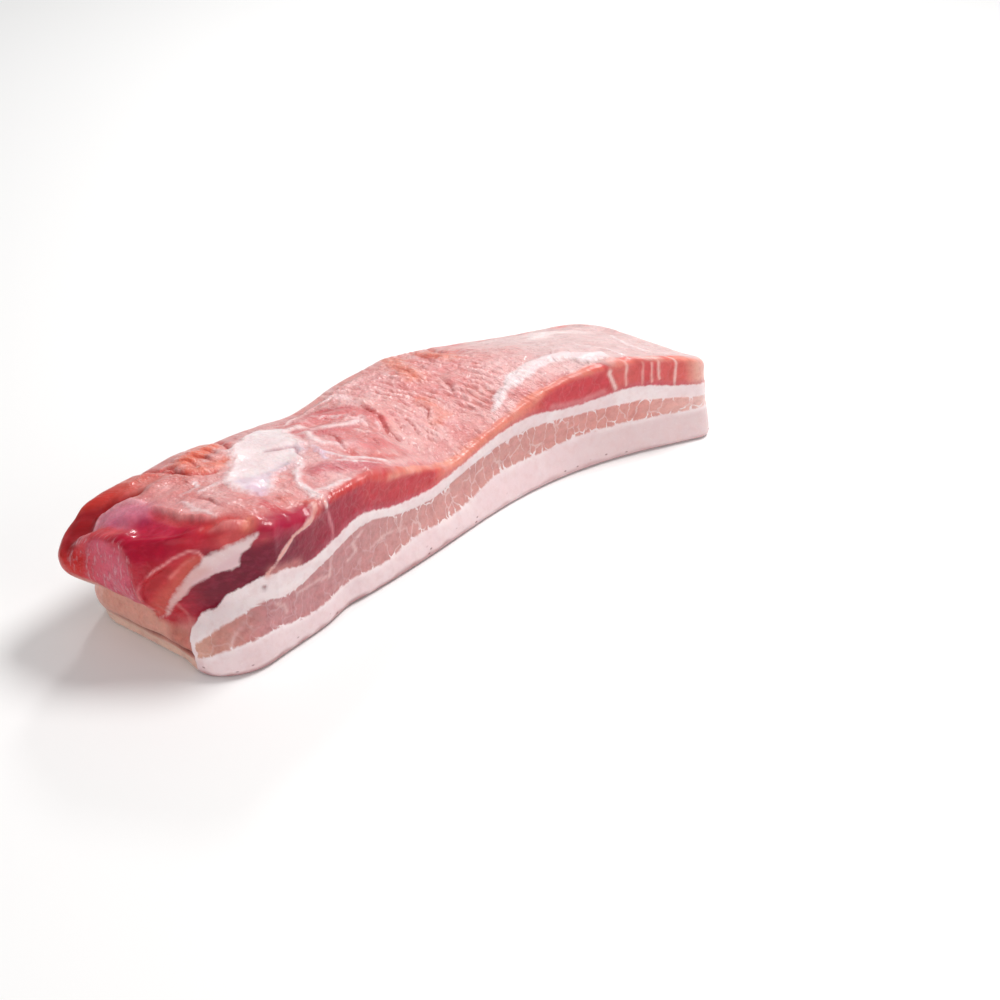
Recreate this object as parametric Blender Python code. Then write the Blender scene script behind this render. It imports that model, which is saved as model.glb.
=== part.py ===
"""Pork belly slab: a boneless strip of raw belly in four layers, lying on its rind side.

Metres, +Z up.  +X runs along the slab and +Y from its cut front to its back.  Every point of
the slab is first named by three places inside it: how far along, how far across and how high.
slab_point turns those into a point of the bent, bulging slab, and each layer is what lies
between two heights, so the layers fit one another however the slab is shaped.
"""

import math

import bmesh
import bpy
import numpy as np

# ---- driving sizes -------------------------------------------------------------------------

LENGTH = 0.276          # along the cut front
WIDTH = 0.080           # from the cut front to the back
LAYER_GAP = 0.0003      # clear space between two layers

# The slab bends to the right over the second half of its length.
HEADING_LEFT = math.radians(13.2)
HEADING_RIGHT = math.radians(-18.5)
BEND_START = 0.121
BEND_END = 0.265

# Heights of the top, as (place along, height): at the cut front, along the middle, at the back.
FRONT_TOP = [(0.000, 0.056), (0.025, 0.061), (0.046, 0.054), (0.066, 0.0555), (0.088, 0.053),
             (0.112, 0.043), (0.138, 0.0335), (0.165, 0.039), (0.207, 0.0475), (0.232, 0.049),
             (0.262, 0.0445), (0.276, 0.041)]
MIDDLE_TOP = [(0.000, 0.057), (0.025, 0.060), (0.060, 0.055), (0.090, 0.052), (0.120, 0.046),
              (0.150, 0.042), (0.180, 0.044), (0.215, 0.045), (0.250, 0.041), (0.276, 0.034)]
BACK_TOP = [(0.000, 0.0445), (0.008, 0.0500), (0.020, 0.0535), (0.034, 0.0520), (0.050, 0.0520),
            (0.072, 0.0475), (0.100, 0.0430), (0.122, 0.0385), (0.150, 0.0405), (0.172, 0.0412),
            (0.200, 0.0370), (0.235, 0.0310), (0.276, 0.0290)]

# Heights of the borders between the layers at the cut front, as (place along, height).
RIND_FAT_TOP = [(0.000, 0.0125), (0.010, 0.0135), (0.025, 0.0145), (0.044, 0.0110),
                (0.070, 0.0125), (0.095, 0.0110), (0.110, 0.0130), (0.125, 0.0115),
                (0.145, 0.0125), (0.162, 0.0160), (0.190, 0.0160), (0.215, 0.0175),
                (0.245, 0.0170), (0.276, 0.0165)]
LOWER_LEAN_TOP = [(0.000, 0.0195), (0.010, 0.0225), (0.025, 0.0275), (0.034, 0.0260),
                  (0.055, 0.0290), (0.080, 0.0340), (0.104, 0.0270), (0.122, 0.0240),
                  (0.142, 0.0260), (0.165, 0.0295), (0.188, 0.0300), (0.212, 0.0282),
                  (0.240, 0.0270), (0.276, 0.0215)]
SEAM_TOP = [(0.000, 0.0280), (0.010, 0.0325), (0.025, 0.0385), (0.034, 0.0385),
            (0.046, 0.0345), (0.062, 0.0365), (0.078, 0.0390), (0.095, 0.0340),
            (0.122, 0.0293), (0.142, 0.0305), (0.167, 0.0350), (0.188, 0.0360),
            (0.202, 0.0335), (0.222, 0.0335), (0.235, 0.0350), (0.262, 0.0300),
            (0.276, 0.0280)]

# Each border with the share of the whole height at which it comes out at the back, and the
# height at which it comes out at the left end.
RIND_FAT_BORDER = (RIND_FAT_TOP, 0.33, 0.0065)
LOWER_LEAN_BORDER = (LOWER_LEAN_TOP, 0.60, 0.0245)
SEAM_BORDER = (SEAM_TOP, 0.72, 0.0265)
END_BORDER_FADE = 0.030     # the heights of the left end die away over this distance

# How far the ends reach past their lines, as (height, distance): the upper half of the left
# end overhangs, with a lobe at its back, and the rind sticks out at the bottom as a lip.
LEFT_REACH = [(0.000, -0.0045), (0.005, -0.004), (0.008, -0.002), (0.013, -0.0005),
              (0.022, -0.0015), (0.027, 0.004), (0.032, 0.007), (0.045, 0.0075),
              (0.061, 0.004)]
RIGHT_REACH = [(0.000, 0.006), (0.020, 0.004), (0.050, 0.001)]
REACH_FADE = 0.055      # the reach of an end dies away over this distance
CORNER_CLEAR = 0.010    # the left reach starts this far from the front ...
CORNER_FULL = 0.030     # ... and is full from here to the back
LOBE_REACH = 0.0065
LOBE_ACROSS = 0.073
LOBE_HEIGHT = 0.038
LOBE_SIZE = 0.012
RIGHT_SKEW = 0.026      # the right end is cut back by this much at the back
SKEW_START = 0.140      # where along the slab the skew of the right end begins

# The front wall's foot stands out, with a small dent: (place along, distance out).
FRONT_FOOT = [(0.000, 0.0015), (0.030, 0.0015), (0.056, 0.002), (0.069, 0.0005), (0.080, 0.002),
              (0.276, 0.0015)]
FOOT_HEIGHT = 0.022

# Corners in plan, as (at the right end, at the back, shape low down, shape high up), where a
# shape is (radius along, radius across, power): a power of 2 is a round corner, and nearer 1
# it is a straight slice.  The front left corner is round below and sliced off above.
CORNERS = [(False, False, (0.024, 0.024, 2.0), (0.030, 0.043, 1.2)),
           (False, True, (0.016, 0.016, 2.2), (0.016, 0.016, 2.2)),
           (True, False, (0.009, 0.009, 2.2), (0.009, 0.009, 2.2)),
           (True, True, (0.014, 0.018, 2.0), (0.014, 0.018, 2.0))]
LOW_CORNER_HEIGHT = 0.008
HIGH_CORNER_HEIGHT = 0.030

# Roundings of the long edges and of the ends.
FRONT_TOP_RADIUS = 0.0025
BACK_TOP_RADIUS = 0.007
END_TOP_RADIUS = 0.004
BOTTOM_RADIUS = 0.0025

# Cells of each layer's surface along and across, crowded towards the edges by a share.
CELLS_ALONG = 37
CROWDING_ALONG = 0.4
CELLS_ACROSS = 12
CROWDING_ACROSS = 0.5

# Shares of a layer's height at which its walls have a row of points.
RIND_FAT_ROWS = (0.0, 0.06, 0.2, 0.5, 1.0)
LOWER_LEAN_ROWS = (0.0, 0.3, 0.7, 1.0)
SEAM_ROWS = (0.0, 1.0)
UPPER_LEAN_ROWS = (0.0, 0.12, 0.35, 0.6, 0.8, 0.93, 1.0)

# Surface colours (linear) and the roughness of a wet surface.
FAT_COLOUR = (0.80, 0.64, 0.60)
SEAM_COLOUR = (0.82, 0.68, 0.65)
PALE_LEAN_COLOUR = (0.55, 0.24, 0.20)
RED_LEAN_COLOUR = (0.45, 0.07, 0.06)
WET_ROUGHNESS = 0.35

# ---- shape functions -----------------------------------------------------------------------


def ease(value):
    """A smooth step from 0 to 1."""
    clipped = np.clip(value, 0.0, 1.0)
    return clipped * clipped * (3.0 - 2.0 * clipped)


def curve_through(stations, place):
    """A smooth curve through (place, value) stations, read at any places."""
    places, values = np.array(stations).T
    slopes = np.gradient(values, places)
    index = np.clip(np.searchsorted(places, place) - 1, 0, len(places) - 2)
    step = places[index + 1] - places[index]
    t = np.clip((place - places[index]) / step, 0.0, 1.0)
    rise = t * t * (3 - 2 * t)
    leave = t * (1 - t) * (1 - t)
    arrive = t * t * (t - 1)
    return (values[index] * (1 - rise) + values[index + 1] * rise
            + step * (leave * slopes[index] + arrive * slopes[index + 1]))


def round_corner(along, across, radius_along, radius_across, power):
    """Pull what lies near a square corner at (0, 0) in to a rounded one."""
    deep_along = (radius_along - along) / radius_along
    deep_across = (radius_across - across) / radius_across
    inside = (deep_along > 0) & (deep_across > 0)
    deep_along = np.where(inside, deep_along, 1.0)
    deep_across = np.where(inside, deep_across, 1.0)
    round_depth = (deep_along ** power + deep_across ** power) ** (1.0 / power)
    pull = np.maximum(deep_along, deep_across) / round_depth
    return (np.where(inside, radius_along * (1 - deep_along * pull), along),
            np.where(inside, radius_across * (1 - deep_across * pull), across))


def round_corners(along, across, raised):
    """Round the four corners of the plan; raised goes from 0, low down, to 1, high up."""
    for at_right, at_back, low, high in CORNERS:
        along = LENGTH - along if at_right else along
        across = WIDTH - across if at_back else across
        shape = [start + (end - start) * raised for start, end in zip(low, high)]
        along, across = round_corner(along, across, *shape)
        along = LENGTH - along if at_right else along
        across = WIDTH - across if at_back else across
    return along, across


def top_height(along, across):
    """Height of the top: the front, middle and back heights joined by a parabola."""
    along, across = round_corners(along, across, 1.0)
    t = across / WIDTH
    return (curve_through(FRONT_TOP, along) * (2 * t - 1) * (t - 1)
            + curve_through(MIDDLE_TOP, along) * 4 * t * (1 - t)
            + curve_through(BACK_TOP, along) * t * (2 * t - 1))


def border_height(border, along, across):
    """Height of a border between two layers, anywhere in the slab."""
    stations, back_share, end_height = border
    front = curve_through(stations, along)
    back = back_share * top_height(along, across)
    height = front + (back - front) * ease(across / WIDTH)
    at_end = 1 - ease(along / END_BORDER_FADE)
    behind_corner = ease((across - CORNER_CLEAR) / (CORNER_FULL - CORNER_CLEAR))
    return height + (end_height - height) * at_end * behind_corner


def rounding(depth, radius):
    """How far a wall moves in at this depth from a rounded edge."""
    t = np.clip(1 - depth / radius, 0.0, 1.0)
    return radius * (1 - np.sqrt(1 - t * t))


def spine():
    """The line of the slab's front in plan: distances along it, with x, y and heading."""
    distance = np.linspace(-0.06, 0.34, 1601)
    turned = ease((distance - BEND_START) / (BEND_END - BEND_START))
    heading = HEADING_LEFT + (HEADING_RIGHT - HEADING_LEFT) * turned
    middle = (heading[:-1] + heading[1:]) / 2
    x = np.concatenate([[0.0], np.cumsum(np.cos(middle) * np.diff(distance))])
    y = np.concatenate([[0.0], np.cumsum(np.sin(middle) * np.diff(distance))])
    return distance, x, y, heading


def slab_point(along, across, height):
    """Turn places inside the slab into x, y and z."""
    top = top_height(along, across)
    raised = ease((height - LOW_CORNER_HEIGHT) / (HIGH_CORNER_HEIGHT - LOW_CORNER_HEIGHT))
    a, b = round_corners(along, across, raised)

    # The walls lean in where their upper and lower edges are rounded.
    below_top = top - height
    front = np.maximum(rounding(below_top, FRONT_TOP_RADIUS), rounding(height, BOTTOM_RADIUS))
    back = np.maximum(rounding(below_top, BACK_TOP_RADIUS), rounding(height, BOTTOM_RADIUS))
    end = np.maximum(rounding(below_top, END_TOP_RADIUS), rounding(height, BOTTOM_RADIUS))
    front = front - curve_through(FRONT_FOOT, along) * (1 - ease(height / FOOT_HEIGHT))
    b = front + b / WIDTH * (WIDTH - front - back)
    a = end + a / LENGTH * (LENGTH - 2 * end)

    left = curve_through(LEFT_REACH, height)
    left = left * ease((b - CORNER_CLEAR) / (CORNER_FULL - CORNER_CLEAR))
    from_lobe = np.hypot(b - LOBE_ACROSS, height - LOBE_HEIGHT) / LOBE_SIZE
    left = left + LOBE_REACH * np.exp(-from_lobe ** 2)
    right = curve_through(RIGHT_REACH, height)
    from_right = LENGTH - a
    a = a - left * (1 - ease(a / REACH_FADE)) + right * (1 - ease(from_right / REACH_FADE))
    skew = RIGHT_SKEW * b / WIDTH
    a = a - skew * ease((a - SKEW_START) / (LENGTH - SKEW_START))

    distance, x, y, heading = spine()
    facing = np.interp(a, distance, heading)
    return np.stack([np.interp(a, distance, x) - np.sin(facing) * b,
                     np.interp(a, distance, y) + np.cos(facing) * b, height], axis=-1)


# ---- building ------------------------------------------------------------------------------


def crowded(cells, length, crowding):
    """Places from 0 to a length, closer together towards both ends."""
    share = np.linspace(0.0, 1.0, cells + 1)
    return length * (share - crowding * np.sin(2 * np.pi * share) / (2 * np.pi))


def shell_triangles(cells_along, cells_across, cells_high):
    """Corner triples of the closed skin of a block of cells."""
    def sheet(corner, cells_one, cells_two):
        """Triangles over one side of the block, as corner(place one, place two)."""
        for one in range(cells_one):
            for two in range(cells_two):
                near, far = corner(one, two), corner(one + 1, two + 1)
                yield near, corner(one + 1, two), far
                yield near, far, corner(one, two + 1)

    for side in (0, cells_high):
        yield from sheet(lambda i, j: (i, j, side), cells_along, cells_across)
    for side in (0, cells_across):
        yield from sheet(lambda i, k: (i, side, k), cells_along, cells_high)
    for side in (0, cells_along):
        yield from sheet(lambda j, k: (side, j, k), cells_across, cells_high)


def wet_material(name, colour):
    """Raw meat or fat with a wet surface."""
    material = bpy.data.materials.new(name)
    material.use_nodes = True
    shader = material.node_tree.nodes["Principled BSDF"]
    shader.inputs["Base Color"].default_value = (*colour, 1.0)
    shader.inputs["Roughness"].default_value = WET_ROUGHNESS
    shader.inputs["Metallic"].default_value = 0.0
    return material


def build_layer(name, lower, upper, rows, colour, parent):
    """One layer of the slab as a closed solid between two border heights."""
    along, across = np.meshgrid(crowded(CELLS_ALONG, LENGTH, CROWDING_ALONG),
                                crowded(CELLS_ACROSS, WIDTH, CROWDING_ACROSS), indexing="ij")
    bottom = lower(along, across)
    top = upper(along, across)
    sheets = [slab_point(along, across, bottom + (top - bottom) * row) for row in rows]

    shape = bmesh.new()
    made = {}
    for triple in shell_triangles(CELLS_ALONG, CELLS_ACROSS, len(rows) - 1):
        for place in triple:
            if place not in made:
                i, j, k = place
                made[place] = shape.verts.new(sheets[k][i, j])
        shape.faces.new([made[place] for place in triple])
    bmesh.ops.recalc_face_normals(shape, faces=shape.faces)
    mesh = bpy.data.meshes.new(name)
    shape.to_mesh(mesh)
    shape.free()

    layer = bpy.data.objects.new(name, mesh)
    bpy.context.scene.collection.objects.link(layer)
    layer.parent = parent
    mesh.materials.append(wet_material(name, colour))
    return layer


def under(border):
    """The upper face of the layer that ends at this border."""
    return lambda along, across: border_height(border, along, across) - LAYER_GAP / 2


def over(border):
    """The lower face of the layer that starts at this border."""
    return lambda along, across: border_height(border, along, across) + LAYER_GAP / 2


def floor_height(along, across):
    """The flat underside."""
    return np.zeros_like(along + across)


for old in list(bpy.data.objects):
    bpy.data.objects.remove(old, do_unlink=True)

slab = bpy.data.objects.new("slab", None)
bpy.context.scene.collection.objects.link(slab)
layers = [
    build_layer("rind_fat", floor_height, under(RIND_FAT_BORDER), RIND_FAT_ROWS,
                FAT_COLOUR, slab),
    build_layer("lower_lean", over(RIND_FAT_BORDER), under(LOWER_LEAN_BORDER),
                LOWER_LEAN_ROWS, PALE_LEAN_COLOUR, slab),
    build_layer("fat_seam", over(LOWER_LEAN_BORDER), under(SEAM_BORDER), SEAM_ROWS,
                SEAM_COLOUR, slab),
    build_layer("upper_lean", over(SEAM_BORDER), top_height, UPPER_LEAN_ROWS,
                RED_LEAN_COLOUR, slab),
]

# The origin is the middle of the underside's box.
corners = np.array([vertex.co for layer in layers for vertex in layer.data.vertices])
middle = (corners.min(axis=0) + corners.max(axis=0)) / 2
slab.location = (-middle[0], -middle[1], 0.0)
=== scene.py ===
"""Looks of the pork belly slab: one continuous skin of wet meat and fat over the four layers.

Places in the slab are in millimetres until the mesh is made: along it from the left end,
across it from the cut front, and up from the floor.
"""

import math

import bpy
import numpy as np
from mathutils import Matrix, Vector


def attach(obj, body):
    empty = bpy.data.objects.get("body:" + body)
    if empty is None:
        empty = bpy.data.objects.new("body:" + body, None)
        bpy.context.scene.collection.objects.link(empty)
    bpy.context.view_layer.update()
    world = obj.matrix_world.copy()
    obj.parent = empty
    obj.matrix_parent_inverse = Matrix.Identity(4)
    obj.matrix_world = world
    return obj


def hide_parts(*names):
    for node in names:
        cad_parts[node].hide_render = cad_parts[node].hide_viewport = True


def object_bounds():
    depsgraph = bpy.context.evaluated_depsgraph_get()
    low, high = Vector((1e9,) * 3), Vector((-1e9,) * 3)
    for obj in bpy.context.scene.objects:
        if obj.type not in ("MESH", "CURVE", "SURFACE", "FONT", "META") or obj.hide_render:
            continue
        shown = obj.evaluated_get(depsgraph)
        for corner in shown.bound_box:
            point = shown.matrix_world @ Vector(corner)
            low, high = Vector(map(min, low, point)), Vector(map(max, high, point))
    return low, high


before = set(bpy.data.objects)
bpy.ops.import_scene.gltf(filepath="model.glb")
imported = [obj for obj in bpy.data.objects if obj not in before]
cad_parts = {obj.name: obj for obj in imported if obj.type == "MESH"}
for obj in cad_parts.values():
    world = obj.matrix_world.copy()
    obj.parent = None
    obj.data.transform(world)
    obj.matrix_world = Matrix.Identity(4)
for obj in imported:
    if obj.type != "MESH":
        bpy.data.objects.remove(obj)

cad_box = [list(corner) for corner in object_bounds()]

# ---- camera ----------------------------------------------------------------------------------
# Looks down on the cut front and the left end, from in front of the slab's right half.

CAMERA_TURN = math.radians(-40)
CAMERA_RISE = math.radians(33)
CAMERA_DISTANCE = 0.80
CAMERA_LENS = 66.24
CAMERA_AIM = Vector((0.0402, -0.0232, 0.0))

camera_back = Vector((math.sin(CAMERA_TURN) * math.cos(CAMERA_RISE),
                      -math.cos(CAMERA_TURN) * math.cos(CAMERA_RISE),
                      math.sin(CAMERA_RISE)))
camera = bpy.data.objects.new("camera", bpy.data.cameras.new("camera"))
bpy.context.scene.collection.objects.link(camera)
bpy.context.scene.camera = camera
camera.data.lens = CAMERA_LENS
camera.data.clip_start = 0.01
camera.location = CAMERA_AIM + camera_back * CAMERA_DISTANCE
camera.rotation_euler = camera_back.to_track_quat("Z", "Y").to_euler()

# ---- studio ----------------------------------------------------------------------------------
# A white sweep of floor, a large soft lamp high on the right, weaker ones in front and on the
# left that fill without shining back off wet meat, and a small one behind for the wet glints.

FLOOR_SIZE = 12.0
FLOOR_GREY = (0.92, 0.92, 0.92, 1.0)
ROOM_LIGHT, ROOM_STRENGTH = (1.0, 0.995, 0.99, 1.0), 0.33
# name, place, size, power, colour, whether it shines back off the wet skin
LAMPS = [("high_lamp", (0.55, -0.10, 0.95), 0.42, 9.2, (1.0, 0.99, 0.98), True),
         ("front_lamp", (0.10, -1.00, 0.50), 0.60, 2.2, (1.0, 0.99, 0.98), False),
         ("left_lamp", (-1.00, -0.25, 0.45), 0.60, 2.9, (1.0, 0.98, 0.97), False),
         ("glint_lamp", (0.55, 0.66, 0.62), 0.16, 2.0, (1.0, 1.0, 1.0), True)]

bpy.context.scene.view_settings.view_transform = "Standard"
world = bpy.data.worlds.new("studio")
bpy.context.scene.world = world
world.use_nodes = True
world.node_tree.nodes["Background"].inputs["Color"].default_value = ROOM_LIGHT
world.node_tree.nodes["Background"].inputs["Strength"].default_value = ROOM_STRENGTH

bpy.ops.mesh.primitive_plane_add(size=FLOOR_SIZE)
floor = bpy.context.object
floor.name = "floor"
floor_finish = bpy.data.materials.new("floor")
floor_finish.use_nodes = True
floor_shader = floor_finish.node_tree.nodes["Principled BSDF"]
floor_shader.inputs["Base Color"].default_value = FLOOR_GREY
floor_shader.inputs["Roughness"].default_value = 0.6
floor.data.materials.append(floor_finish)

for lamp_name, lamp_place, lamp_size, lamp_power, lamp_colour, lamp_shines in LAMPS:
    lamp = bpy.data.lights.new(lamp_name, "AREA")
    lamp.shape = "DISK"
    lamp.size = lamp_size
    lamp.energy = lamp_power
    lamp.color = lamp_colour
    lamp_object = bpy.data.objects.new(lamp_name, lamp)
    bpy.context.scene.collection.objects.link(lamp_object)
    lamp_object.location = lamp_place
    lamp_object.visible_glossy = lamp_shines
    lamp_object.rotation_euler = Vector(lamp_place).to_track_quat("Z", "Y").to_euler()

# ---- slab: form ------------------------------------------------------------------------------
# A strip cut from a belly.  It lies on its rind, bends to the right in plan, is thick at the
# left with an overhanging end, and dips in the middle.

LENGTH = 276.0
WIDTH = 80.0
HEADING_LEFT = math.radians(13.2)
HEADING_RIGHT = math.radians(-18.5)
BEND_START = 121.0
BEND_END = 265.0
FRONT_TOP = [(0, 56), (25, 61), (46, 54), (66, 55.5), (88, 53), (112, 43), (138, 33.5),
             (165, 39), (207, 47.5), (232, 49), (262, 44.5), (276, 41)]
MIDDLE_TOP = [(0, 57), (25, 60), (60, 55), (90, 52), (120, 46), (150, 42), (180, 44),
              (215, 45), (250, 41), (276, 34)]
BACK_TOP = [(0, 44.5), (8, 50), (20, 53.5), (34, 52), (50, 52), (72, 47.5), (100, 43),
            (122, 38.5), (150, 40.5), (172, 41.2), (200, 37), (235, 31), (276, 29)]
LEFT_REACH = [(0, -4.5), (5, -4), (8, -2), (13, -0.5), (22, -1.5), (27, 4), (32, 7),
              (45, 7.5), (61, 4)]
RIGHT_REACH = [(0, 6), (20, 4), (50, 1)]
REACH_FADE = 55.0
CORNER_CLEAR = 10.0
CORNER_FULL = 30.0
LOBE_REACH, LOBE_ACROSS, LOBE_HEIGHT, LOBE_SIZE = 6.5, 73.0, 38.0, 12.0
RIGHT_SKEW, SKEW_START = 26.0, 140.0
FRONT_FOOT = [(0, 1.5), (30, 1.5), (56, 2), (69, 0.5), (80, 2), (276, 1.5)]
FOOT_HEIGHT = 22.0
CORNERS = [(False, False, (24, 24, 2.0), (30, 43, 1.2)), (False, True, (16, 16, 2.2), (16, 16, 2.2)),
           (True, False, (9, 9, 2.2), (9, 9, 2.2)), (True, True, (14, 18, 2.0), (14, 18, 2.0))]
LOW_CORNER_HEIGHT, HIGH_CORNER_HEIGHT = 8.0, 30.0
FRONT_TOP_RADIUS, BACK_TOP_RADIUS, END_TOP_RADIUS, BOTTOM_RADIUS = 2.5, 7.0, 4.0, 2.5
SPINE_FROM, SPINE_TO, SPINE_POINTS = -60, 340, 1601


def ease(value):
    """A smooth step from 0 to 1."""
    clipped = np.clip(value, 0.0, 1.0)
    return clipped * clipped * (3.0 - 2.0 * clipped)


def curve_through(stations, place):
    """A smooth curve through (place, value) stations, read at any places."""
    places, values = np.array(stations, float).T
    slopes = np.gradient(values, places)
    index = np.clip(np.searchsorted(places, place) - 1, 0, len(places) - 2)
    step = places[index + 1] - places[index]
    t = np.clip((place - places[index]) / step, 0.0, 1.0)
    rise = t * t * (3 - 2 * t)
    leave = t * (1 - t) * (1 - t)
    arrive = t * t * (t - 1)
    return (values[index] * (1 - rise) + values[index + 1] * rise
            + step * (leave * slopes[index] + arrive * slopes[index + 1]))


def round_corner(along, across, radius_along, radius_across, power):
    """Pull what lies near a square corner at (0, 0) in to a rounded one."""
    deep_along = (radius_along - along) / radius_along
    deep_across = (radius_across - across) / radius_across
    inside = (deep_along > 0) & (deep_across > 0)
    deep_along = np.where(inside, deep_along, 1.0)
    deep_across = np.where(inside, deep_across, 1.0)
    round_depth = (deep_along ** power + deep_across ** power) ** (1.0 / power)
    pull = np.maximum(deep_along, deep_across) / round_depth
    return (np.where(inside, radius_along * (1 - deep_along * pull), along),
            np.where(inside, radius_across * (1 - deep_across * pull), across))


def round_corners(along, across, raised):
    """Round the four corners of the plan; raised goes from 0, low down, to 1, high up."""
    for at_right, at_back, low, high in CORNERS:
        along = LENGTH - along if at_right else along
        across = WIDTH - across if at_back else across
        shape = [start + (end - start) * raised for start, end in zip(low, high)]
        along, across = round_corner(along, across, *shape)
        along = LENGTH - along if at_right else along
        across = WIDTH - across if at_back else across
    return along, across


def top_height(along, across):
    """Height of the top: the front, middle and back heights joined by a parabola."""
    along, across = round_corners(along, across, 1.0)
    t = across / WIDTH
    return (curve_through(FRONT_TOP, along) * (2 * t - 1) * (t - 1)
            + curve_through(MIDDLE_TOP, along) * 4 * t * (1 - t)
            + curve_through(BACK_TOP, along) * t * (2 * t - 1))


def rounding(depth, radius):
    """How far a wall moves in at this depth from a rounded edge."""
    t = np.clip(1 - depth / radius, 0.0, 1.0)
    return radius * (1 - np.sqrt(1 - t * t))


def slab_point(a, b, height, top, along):
    """Turn rounded places in plan and a height into x, y and z."""
    below_top = top - height
    front = np.maximum(rounding(below_top, FRONT_TOP_RADIUS), rounding(height, BOTTOM_RADIUS))
    back = np.maximum(rounding(below_top, BACK_TOP_RADIUS), rounding(height, BOTTOM_RADIUS))
    end = np.maximum(rounding(below_top, END_TOP_RADIUS), rounding(height, BOTTOM_RADIUS))
    front = front - curve_through(FRONT_FOOT, along) * (1 - ease(height / FOOT_HEIGHT))
    b = front + b / WIDTH * (WIDTH - front - back)
    a = end + a / LENGTH * (LENGTH - 2 * end)

    left = curve_through(LEFT_REACH, height)
    left = left * ease((b - CORNER_CLEAR) / (CORNER_FULL - CORNER_CLEAR))
    from_lobe = np.hypot(b - LOBE_ACROSS, height - LOBE_HEIGHT) / LOBE_SIZE
    left = left + LOBE_REACH * np.exp(-from_lobe ** 2)
    right = curve_through(RIGHT_REACH, height)
    from_right = LENGTH - a
    a = a - left * (1 - ease(a / REACH_FADE)) + right * (1 - ease(from_right / REACH_FADE))
    a = a - RIGHT_SKEW * b / WIDTH * ease((a - SKEW_START) / (LENGTH - SKEW_START))

    distance = np.linspace(SPINE_FROM, SPINE_TO, SPINE_POINTS)
    turned = ease((distance - BEND_START) / (BEND_END - BEND_START))
    heading = HEADING_LEFT + (HEADING_RIGHT - HEADING_LEFT) * turned
    middle = (heading[:-1] + heading[1:]) / 2
    x = np.concatenate([[0.0], np.cumsum(np.cos(middle) * np.diff(distance))])
    y = np.concatenate([[0.0], np.cumsum(np.sin(middle) * np.diff(distance))])
    facing = np.interp(a, distance, heading)
    return np.stack([np.interp(a, distance, x) - np.sin(facing) * b,
                     np.interp(a, distance, y) + np.cos(facing) * b, height], axis=-1)


# ---- slab: skin ------------------------------------------------------------------------------
# The cut and trimmed outside of the strip, all one wet surface: a net of fine cells on every
# side that shows, and coarser ones on the underside that it rests on.

CELLS_ALONG, CELLS_ACROSS, CELLS_HIGH = 344, 100, 56
UNDERSIDE_STEP = 4
EDGE_CROWDING = 0.35


def crowded(cells, length, crowding):
    """Places from 0 to a length, closer together towards both ends."""
    share = np.linspace(0.0, 1.0, cells + 1)
    return length * (share - crowding * np.sin(2 * np.pi * share) / (2 * np.pi))


number = np.full((CELLS_ALONG + 1, CELLS_ACROSS + 1, CELLS_HIGH + 1), -1)
kept = np.zeros(number.shape, bool)
kept[:, :, -1] = True
kept[[0, -1]] = True
kept[:, [0, -1]] = True
kept[::UNDERSIDE_STEP, ::UNDERSIDE_STEP, 0] = True
number[kept] = np.arange(kept.sum())
cell_along, cell_across, cell_high = np.nonzero(kept)

along = crowded(CELLS_ALONG, LENGTH, EDGE_CROWDING)[cell_along]
across = crowded(CELLS_ACROSS, WIDTH, EDGE_CROWDING)[cell_across]
top = top_height(along, across)
up = crowded(CELLS_HIGH, 1.0, EDGE_CROWDING)[cell_high] * top
raised = ease((up - LOW_CORNER_HEIGHT) / (HIGH_CORNER_HEIGHT - LOW_CORNER_HEIGHT))
plan_along, plan_across = round_corners(along, across, raised)
skin = slab_point(plan_along, plan_across, up, top, along)


def sheet_faces(sheet, flipped):
    """Quads over a two-way sheet of point numbers."""
    corners = [sheet[:-1, :-1], sheet[1:, :-1], sheet[1:, 1:], sheet[:-1, 1:]]
    quads = np.stack([corner.ravel() for corner in corners], axis=-1)
    return (quads[:, ::-1] if flipped else quads).tolist()


faces = sheet_faces(number[:, :, -1], False)
faces += sheet_faces(number[:, 0, :], False)
faces += sheet_faces(number[:, -1, :], True)
faces += sheet_faces(number[0, :, :], True)
faces += sheet_faces(number[-1, :, :], False)
for start in range(0, CELLS_ALONG, UNDERSIDE_STEP):
    for side in range(0, CELLS_ACROSS, UNDERSIDE_STEP):
        end, far = start + UNDERSIDE_STEP, side + UNDERSIDE_STEP
        loop = [(start, place) for place in range(side, far)]
        loop += [(place, far) for place in range(start, end)]
        loop += [(end, place) for place in range(far, side, -1)]
        loop += [(place, side) for place in range(end, start, -1)]
        faces.append([int(number[i, j, 0]) for i, j in loop if number[i, j, 0] >= 0])


# ---- slab: layers ----------------------------------------------------------------------------
# Between rind and top: rind fat, a pale streaky lean, a seam of fat and a dark lean.  On the
# left end the dark lean stands over as a block, with a wedge of fat let in at the corner.

# places along, across and up, and along the wall round the left corner, below 0 on the end
A, B, Z = plan_along, plan_across, up
places = np.stack([A, B, Z], axis=-1)
left_half = ease((70 - A) / 20)
wall = A * (1 - 2 * left_half * ease((B - 40) / 20)) - B * left_half
shade_place = np.where(B < 45, wall, A)

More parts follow.
